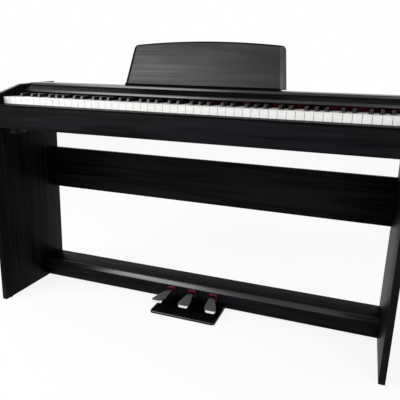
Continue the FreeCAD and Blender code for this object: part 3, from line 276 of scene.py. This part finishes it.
FOIL_DARK = (0.0010, 0.0010, 0.0016)
FOIL_LIGHT = (0.0052, 0.0051, 0.0068)
FINISHES = {
    "board_x": wood_grain("black_wood_foil_along", "x", FOIL_DARK, FOIL_LIGHT),
    "board_z": wood_grain("black_wood_foil_upright", "z", FOIL_DARK, FOIL_LIGHT, 0.026),
    "box_board": wood_grain("dull_wood_foil_pedal_box", "x", FOIL_DARK, FOIL_LIGHT, 0.015),
    # Painted highlight: a lighter, glossier copy of the black foil, worn by the faces that slope up
    # on the side boards, top panel, nosing, pedal box front and pedal plate.
    "foil_painted_highlight": wood_grain("satin_foil_painted_highlight", "x", (0.003, 0.003, 0.004), (0.009, 0.009, 0.011),
                            0.42, (0.24, 0.34), 0.12),
    # Painted light: a lighter, glossier copy of the music rest's black foil, worn by the rest's
    # faces that turn towards the treble end.
    "rest_side_painted_light": wood_grain("rest_foil_painted_light", "z", (0.008, 0.008, 0.009),
                              (0.018, 0.018, 0.02), 0.5, (0.30, 0.40), 0.12),
    "inner_board": wood_grain("black_primed_board", "x", (0.004,) * 3, (0.012,) * 3),
    "panel_plastic": moulded("satin_black_panel", (0.0022, 0.0022, 0.0028),
                             (0.0046, 0.0045, 0.0056), (0.30, 0.38), specular=0.10),
    "matt_black": moulded("matt_black_panel", (0.0009, 0.0009, 0.0013),
                          (0.0020, 0.0020, 0.0026), (0.44, 0.55), specular=0.018),
    "rest_plastic": wood_grain("black_rest_board", "x", (0.003, 0.003, 0.0038),
                               (0.012, 0.0117, 0.0145), 0.27),
    "ivory": ivory("satin_white_key"),
    "ebony": moulded("satin_black_key", (0.0025, 0.0025, 0.0028), (0.005, 0.005, 0.0055),
                     (0.24, 0.34), 1300.0, specular=0.3),
    # Painted light and shade: one red felt in two copies, the key felt painted brighter for the
    # light it lacks in the shade under the nosing, the pedal felt painted darker as shade.
    "red_felt": felt("key_felt_red_painted_light", (0.36, 0.014, 0.040), (0.80, 0.040, 0.10)),
    "pedal_felt": felt("pedal_felt_red_painted_shade", (0.035, 0.001, 0.004), (0.15, 0.004, 0.014), 0.06),
    "dark_felt": felt("grey_felt", (0.02, 0.02, 0.022), (0.07, 0.07, 0.075)),
    "button_plastic": moulded("black_button", (0.0015, 0.0015, 0.002), (0.003, 0.003, 0.0036),
                              (0.38, 0.48), specular=0.03),
    "circuit_board": circuit("green_circuit_board"),
    "dome_rubber": moulded("grey_rubber", (0.22,) * 3, (0.3,) * 3, (0.6, 0.8), 600.0),
    "glide_plastic": moulded("glide_plastic", (0.02,) * 3, (0.035,) * 3, (0.5, 0.65)),
    # Painted reflection: the pedals' chrome is painted dark for its reflection of the dark case
    # above, and a bright copy on the faces towards the player stands for its reflection of the
    # light floor.
    "bright_metal": metal("pedal_chrome_painted_dark_reflection", (0.022, 0.022, 0.0215), (0.062, 0.061, 0.060),
                          (0.14, 0.26), "y"),
    "pedal_lit_front": metal("pedal_chrome_lit_front", (0.74, 0.735, 0.72), (0.86, 0.855, 0.84),
                       (0.06, 0.14), "x", 0.02),
    "steel": metal("zinc_plated_steel", (0.36, 0.365, 0.38), (0.56, 0.565, 0.58),
                   (0.28, 0.45), "x"),
    "speaker_cone": cone_paper("speaker_paper"),
    "grille_metal": moulded("black_painted_steel", (0.004,) * 3, (0.008,) * 3, (0.35, 0.5),
                            specular=0.12),
}
UPRIGHT = ("side_board_left", "side_board_right")


# Faces that slope up within these limits wear the painted highlight.
def slopes_up(least, most=1.01):
    return lambda normal: least < normal.z < most


# The pedal faces that wear the bright painted reflection.
def faces_player(normal):
    return normal.y < -0.6 and normal.z < 0.5


# The music rest's faces that wear the painted light.
def faces_treble(normal):
    return normal.x > 0.3


# Painted shade: the music rest's top, bass-end and back faces wear the matt black finish, darker
# than the rest's own foil.
def rest_faces_painted_dark(normal):
    return normal.z > 0.5 or normal.x < -0.3 or normal.y > 0.5


# Painted light and shade: lighter, darker or glossier copies of a piece's finish, each with the
# faces that wear it, chosen by the way they face.
PAINTED_LIGHT_AND_SHADE = {
    "side_board_left": (("foil_painted_highlight", slopes_up(0.2)),),
    "side_board_right": (("foil_painted_highlight", slopes_up(0.2)),),
    "top_panel": (("foil_painted_highlight", slopes_up(0.2)),),
    "nosing": (("foil_painted_highlight", slopes_up(0.2)),),
    "bottom_front_board": (("foil_painted_highlight", slopes_up(0.2, 0.9)),),
    "pedal_base_plate": (("foil_painted_highlight", slopes_up(0.2, 0.95)),),
    "music_rest": (("rest_side_painted_light", faces_treble), ("matt_black", rest_faces_painted_dark)),
    "soft_pedal": (("pedal_lit_front", faces_player),),
    "sostenuto_pedal": (("pedal_lit_front", faces_player),),
    "damper_pedal": (("pedal_lit_front", faces_player),),
}
# Nodes whose finish isn't their slot's.
OWN_FINISH = {
    "fascia": "matt_black",
    "key_slip": "matt_black",
    "pedal_base_plate": "matt_black",
    "music_ledge": "matt_black",
    "pedal_felts": "pedal_felt",
    "bottom_board": "box_board",
}


def finish_of(node):
    finish = OWN_FINISH.get(node, SLOTS[node])
    if finish == "case_board":
        finish = "board_z" if node in UPRIGHT else "board_x"
    return FINISHES[finish]


def dress(piece, material):
    piece.data.materials.clear()
    piece.data.materials.append(material)


# ---------------------------------------------------------------- pieces

MERGE_REACH = 0.002 * MM
FLAT_ANGLE = 0.5
# Radius in millimetres of each piece's softened edges.
EDGE_ROUNDING = {
    "side_board_left": 1.0, "side_board_right": 1.0, "modesty_board": 0.8, "front_rail": 0.8,
    "bottom_front_board": 0.8, "bottom_board": 0.8, "keybed": 0.6, "rear_panel": 0.6,
    "key_slip": 0.6, "top_panel": 0.6, "fascia": 0.4, "nosing": 0.5, "pedal_base_plate": 0.8,
    "key_felt_strip": 0.6, "pedal_felts": 1.0, "headphone_box": 0.8, "power_inlet": 0.5,
    "power_button": 0.4, "piano_button": 0.4, "metronome_button": 0.4, "volume_knob": 0.5,
    "mounting_brackets": 0.4, "mounting_bolts": 0.3, "speaker_grilles": 0.3, "floor_glides": 0.4,
}
# The slopes on the front of the music rest's ends: side and width, then their turn in degrees.
REST_SLOPES = ((-1, 4.5 * MM), (1, 9.5 * MM))
REST_SLOPE_TURN = 31
LEDGE_SHORTER = 14 * MM


def object_from(bm, name, smooth=35.0):
    """A finished object at the origin, its faces smooth up to an angle."""
    mesh = bpy.data.meshes.new(name)
    bm.to_mesh(mesh)
    bm.free()
    mesh.polygons.foreach_set("use_smooth", [True] * len(mesh.polygons))
    mesh.set_sharp_from_angle(angle=math.radians(smooth))
    piece = bpy.data.objects.new(name, mesh)
    bpy.context.scene.collection.objects.link(piece)
    return piece


def stand_for(piece, node):
    """The piece takes the node's place, body and finish."""
    dress(piece, finish_of(node))
    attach(piece, NODES[node]["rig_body"])
    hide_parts(node)
    return piece


def soften(bm, edges, offset, segments):
    if edges:
        bmesh.ops.bevel(bm, geom=edges, offset=offset, segments=segments, profile=0.5,
                        affect="EDGES", material=-1, clamp_overlap=True)


def paint_light_and_shade(piece, node):
    """Dresses some of a piece's faces, chosen by the way they face, in the node's painted light and
    shade copies of its finish.
    """
    for number, (finish, wears) in enumerate(PAINTED_LIGHT_AND_SHADE.get(node, ()), 1):
        piece.data.materials.append(FINISHES[finish])
        for face in piece.data.polygons:
            if wears(face.normal):
                face.material_index = number


def softened(node, offset, segments=2, least=30.0, shaped=None):
    """The node's own shape, merged, with every edge sharper than least degrees rounded."""
    bm = bmesh.new()
    bm.from_mesh(NODES[node].data)
    bmesh.ops.remove_doubles(bm, verts=bm.verts, dist=MERGE_REACH)
    bmesh.ops.dissolve_limit(bm, angle_limit=math.radians(FLAT_ANGLE), verts=bm.verts,
                             edges=bm.edges)
    if shaped:
        shaped(bm)
    limit = math.radians(least)
    sharp = [e for e in bm.edges if len(e.link_faces) == 2 and e.calc_face_angle(0) > limit]
    soften(bm, sharp, offset, segments)
    paint_light_and_shade(stand_for(object_from(bm, node + "_finished", 30.0), node), node)


def slope_rest_ends(bm):
    """Planes a slope on the front of the music rest's two ends."""
    turn = math.radians(REST_SLOPE_TURN)
    front = max((f for f in bm.faces if f.normal.y < -0.5), key=lambda f: f.calc_area())
    normal = front.normal.copy()
    ends = []
    for side, wide in REST_SLOPES:
        pairs = [e.verts for e in front.edges if all(v.co.x * side > 0 for v in e.verts)]
        first, last = max(pairs, key=lambda pair: abs(pair[0].co.z - pair[1].co.z))
        outward = (last.co - first.co).cross(normal).normalized()
        outward *= math.copysign(1, outward.x * side)
        ends.append(((first.co + last.co) / 2 - outward * wide, outward))
    for place, outward in ends:
        facing = normal * math.cos(turn) + outward * math.sin(turn)
        cut = bmesh.ops.bisect_plane(bm, geom=bm.verts[:] + bm.edges[:] + bm.faces[:],
                                     plane_co=place, plane_no=facing, clear_outer=True)
        rim = [e for e in cut["geom_cut"] if isinstance(e, bmesh.types.BMEdge)]
        bmesh.ops.holes_fill(bm, edges=rim, sides=0)
    bmesh.ops.recalc_face_normals(bm, faces=bm.faces)


def trim_ledge(bm):
    """Stops the ledge short of the music rest's ends."""
    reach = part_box("music_rest")[1].x - LEDGE_SHORTER
    for vert in bm.verts:
        vert.co.x = max(-reach, min(reach, vert.co.x))


def slab(bm, outline, low, high):
    """An upright prism from a plan, whose repeated points are dropped; returns its faces."""
    outline = [p for i, p in enumerate(outline)
               if (Vector(p) - Vector(outline[i - 1])).length > NEAR]
    corners = [bm.verts.new((x, y, low)) for x, y in outline]
    base = bm.faces.new(corners)
    grown = bmesh.ops.extrude_face_region(bm, geom=[base])["geom"]
    top = [v for v in grown if isinstance(v, bmesh.types.BMVert)]
    bmesh.ops.translate(bm, verts=top, vec=(0, 0, high - low))
    faces = list(dict.fromkeys(f for v in corners + top for f in v.link_faces))
    bmesh.ops.recalc_face_normals(bm, faces=faces)
    return faces


def edges_of(faces, wanted):
    """The faces' edges that pass the test, each once and in a fixed order."""
    return list(dict.fromkeys(e for f in faces for e in f.edges if wanted(e)))


WHITE_LOW, WHITE_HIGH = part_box("white_keys_bass")[0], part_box("white_keys_treble")[1]
BLACK_LOW, BLACK_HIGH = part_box("key_c_sharp")
PITCH = (WHITE_HIGH.x - WHITE_LOW.x + KEY_GAP) / WHITE_COUNT
KEYS_LEFT = WHITE_LOW.x - KEY_GAP / 2
BLACK_WIDE = BLACK_HIGH.x - BLACK_LOW.x
NEAR = 0.01 * MM

WHITE_LIP, WHITE_CAP, WHITE_TAIL_STEP, WHITE_CORE_INSET = 0.5 * MM, 2.6 * MM, 3.0 * MM, 0.1 * MM
WHITE_ROUNDING = 0.5 * MM
BLACK_CROWN, BLACK_LEAN, BLACK_CAP_LONG = 9.0 * MM, 4.0 * MM, 92.5 * MM
BLACK_FOOT, BLACK_STEP, BLACK_ROUNDING = 1.0 * MM, 0.3 * MM, 1.6 * MM


def letter(index):
    return "ABCDEFG"[index % 7]


BLACKS = {i: KEYS_LEFT + (i + BLACK_OFFSETS[letter(i)]) * PITCH
          for i in range(WHITE_COUNT - 1) if letter(i) in BLACK_OFFSETS}


def white_key(bm, index):
    """A key cap that overhangs its body a little at the front, notched for its black neighbours."""
    left = KEYS_LEFT + index * PITCH + KEY_GAP / 2
    right = left + PITCH - KEY_GAP
    clear = BLACK_WIDE / 2 + KEY_GAP
    tail_left = max(left, BLACKS[index - 1] + clear) if index - 1 in BLACKS else left
    tail_right = min(right, BLACKS[index] - clear) if index in BLACKS else right
    front, back, head = WHITE_LOW.y, WHITE_HIGH.y, BLACK_LOW.y - KEY_GAP
    top, low = WHITE_HIGH.z, WHITE_LOW.z

    def plan(lip, tail_step, inset):
        return [(left + inset, front + lip), (right - inset, front + lip), (right - inset, head),
                (tail_right - inset, head), (tail_right - inset, back - tail_step),
                (tail_left + inset, back - tail_step), (tail_left + inset, head),
                (left + inset, head)]

    faces = slab(bm, plan(0, 0, 0), top - WHITE_CAP, top)
    soft = edges_of(faces, lambda e: all(v.co.z > top - NEAR for v in e.verts)
                    or all(v.co.y < front + NEAR for v in e.verts))
    soften(bm, soft, WHITE_ROUNDING, 3)
    slab(bm, plan(WHITE_LIP, WHITE_TAIL_STEP, WHITE_CORE_INSET), low, top - WHITE_CAP)


def black_key(bm, x):
    """A tapered cap with rounded edges and a sloped front, on a low tail."""
    foot = WHITE_HIGH.z - BLACK_FOOT
    half, narrow = BLACK_WIDE / 2, BLACK_CROWN / 2
    front, top = BLACK_LOW.y, BLACK_HIGH.z

    def plan(near, far):
        return [(x - half, near), (x + half, near), (x + half, far), (x - half, far)]

    faces = slab(bm, plan(front, front + BLACK_CAP_LONG), foot, top)
    for vert in {v for f in faces for v in f.verts if v.co.z > top - NEAR}:
        vert.co.x = x + math.copysign(narrow, vert.co.x - x)
        if vert.co.y < front + NEAR:
            vert.co.y += BLACK_LEAN
    soften(bm, edges_of(faces, lambda e: any(v.co.z > top - NEAR for v in e.verts)),
           BLACK_ROUNDING, 4)
    slab(bm, plan(front + BLACK_STEP, BLACK_HIGH.y), BLACK_LOW.z, foot)


def key_piece(node, whites=(), blacks=()):
    bm = bmesh.new()
    for index in whites:
        white_key(bm, index)
    for index in blacks:
        black_key(bm, BLACKS[index])
    stand_for(object_from(bm, node + "_caps", 40.0), node)


def keyboard():
    past_middle = FIRST_MIDDLE + MIDDLE_KEYS
    key_piece("white_keys_bass", whites=range(FIRST_MIDDLE))
    key_piece("white_keys_treble", whites=range(past_middle, WHITE_COUNT))
    key_piece("black_keys_bass", blacks=[i for i in BLACKS if i < FIRST_MIDDLE])
    key_piece("black_keys_treble", blacks=[i for i in BLACKS if i >= past_middle])
    for index in range(FIRST_MIDDLE, past_middle):
        name = letter(index).lower()
        key_piece("key_" + name, whites=[index])
        if index in BLACKS:
            key_piece("key_%s_sharp" % name, blacks=[index])


def pedals():
    """Flared pedals with rounded edges, in chrome painted dark as painted reflection, with a bright
    copy on the faces towards the player.
    """
    for node in ("soft_pedal", "sostenuto_pedal", "damper_pedal"):
        softened(node, 1.8 * MM, 4, 40.0)


COIL_STEPS, COIL_TURNS, COIL_WIRE = 20, 7, 0.9 * MM


def coil(bm, centre, radius, wire, low, high, turns):
    """A round-wire helix, spun upwards."""
    steps = COIL_STEPS
    rise = (high - low) / turns
    made = bmesh.ops.create_circle(bm, segments=8, radius=wire,
                                   matrix=Matrix.Translation(centre + Vector((radius, 0, low)))
                                   @ Matrix.Rotation(math.pi / 2, 4, "X"))
    edges = list(dict.fromkeys(e for v in made["verts"] for e in v.link_edges))
    bmesh.ops.spin(bm, geom=made["verts"] + edges, cent=centre, axis=(0, 0, 1),
                   dvec=(0, 0, rise / steps), angle=2 * math.pi * turns, steps=int(steps * turns))


def pedal_springs():
    low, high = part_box("pedal_springs")
    bm = bmesh.new()
    middle = (low + high) / 2
    wire = COIL_WIRE
    reach = (high.y - low.y) / 2 - wire
    for x in (low.x + reach + wire, middle.x, high.x - reach - wire):
        coil(bm, Vector((x, middle.y, 0)), reach, wire, low.z + wire, high.z - wire,
             COIL_TURNS)
    bmesh.ops.holes_fill(bm, edges=bm.edges, sides=8)
    bmesh.ops.recalc_face_normals(bm, faces=bm.faces)
    stand_for(object_from(bm, "pedal_spring_coils", 60.0), "pedal_springs")


def case_pieces():
    """Boards, panels and plates with every edge softly rounded."""
    for node, radius in EDGE_ROUNDING.items():
        softened(node, radius * MM)
    softened("music_rest", 2.2 * MM, 4, 20.0, slope_rest_ends)
    softened("music_ledge", 0.6 * MM, shaped=trim_ledge)


for name, node in NODES.items():
    dress(node, finish_of(name))
case_pieces()
keyboard()
pedals()
pedal_springs()


# ---------------------------------------------------------------- floor, lights and camera

def seen_white(tree):
    """1 for the rays that show the background itself: camera, glossy and transmission rays."""
    path = tree.nodes.new("ShaderNodeLightPath")
    shown = path.outputs["Is Camera Ray"]
    for kind in ("Is Glossy Ray", "Is Transmission Ray"):
        either = tree.nodes.new("ShaderNodeMath")
        either.operation = "MAXIMUM"
        tree.links.new(shown, either.inputs[0])
        tree.links.new(path.outputs[kind], either.inputs[1])
        shown = either.outputs[0]
    return shown


def white_floor():
    bm = bmesh.new()
    bmesh.ops.create_grid(bm, x_segments=1, y_segments=1, size=FLOOR_HALF)
    floor = object_from(bm, "floor")
    material = bpy.data.materials.new("pale_floor")
    material.use_nodes = True
    tree = material.node_tree
    paint = tree.nodes["Principled BSDF"]
    paint.inputs["Base Color"].default_value = (0.86, 0.86, 0.86, 1)
    paint.inputs["Roughness"].default_value = 0.9
    paint.inputs["Specular IOR Level"].default_value = 0.0
    glow = tree.nodes.new("ShaderNodeEmission")
    mix = tree.nodes.new("ShaderNodeMixShader")
    share = tree.nodes.new("ShaderNodeMath")
    share.operation = "MULTIPLY"
    share.inputs[1].default_value = FLOOR_GLOW
    tree.links.new(seen_white(tree), share.inputs[0])
    tree.links.new(share.outputs[0], mix.inputs["Fac"])
    tree.links.new(paint.outputs[0], mix.inputs[1])
    tree.links.new(glow.outputs[0], mix.inputs[2])
    tree.links.new(mix.outputs[0], tree.nodes["Material Output"].inputs["Surface"])
    dress(floor, material)


def white_room():
    world = bpy.data.worlds.new("white_room")
    bpy.context.scene.world = world
    world.use_nodes = True
    tree = world.node_tree
    sky = tree.nodes["Background"]
    sky.inputs["Color"].default_value = (1, 1, 1, 1)
    level = tree.nodes.new("ShaderNodeMapRange")
    level.inputs["To Min"].default_value = ROOM_LIGHT
    level.inputs["To Max"].default_value = 1.0
    tree.links.new(seen_white(tree), level.inputs["Value"])
    tree.links.new(level.outputs["Result"], sky.inputs["Strength"])


def softbox(name, place, target, wide, tall, watts):
    lamp = bpy.data.lights.new(name, "AREA")
    lamp.shape = "RECTANGLE"
    lamp.size, lamp.size_y = wide, tall
    lamp.energy = watts
    box = bpy.data.objects.new(name, lamp)
    box.visible_camera = False
    box.location = place
    box.rotation_euler = (Vector(target) - Vector(place)).to_track_quat("-Z", "Y").to_euler()
    bpy.context.scene.collection.objects.link(box)


def camera():
    """Seen from the front right, a little above the keys."""
    yaw, pitch, roll = CAMERA_YAW, CAMERA_PITCH, CAMERA_ROLL
    forward = Vector((-math.sin(yaw) * math.cos(pitch), math.cos(yaw) * math.cos(pitch),
                      -math.sin(pitch)))
    right = Vector((math.cos(yaw), math.sin(yaw), 0))
    up = right.cross(forward)
    turned_right = right * math.cos(roll) + up * math.sin(roll)
    turned_up = up * math.cos(roll) - right * math.sin(roll)
    data = bpy.data.cameras.new("camera")
    data.sensor_width = 36.0
    data.lens = CAMERA_LENS
    data.shift_x, data.shift_y = CAMERA_SHIFT
    eye = bpy.data.objects.new("camera", data)
    matrix = Matrix((turned_right, turned_up, -forward)).transposed().to_4x4()
    matrix.translation = CAMERA_PLACE
    eye.matrix_world = matrix
    bpy.context.scene.collection.objects.link(eye)
    bpy.context.scene.camera = eye


white_floor()
white_room()
for softbox_values in SOFTBOXES:
    softbox(*softbox_values)
camera()
bpy.context.scene.view_settings.view_transform = "Standard"
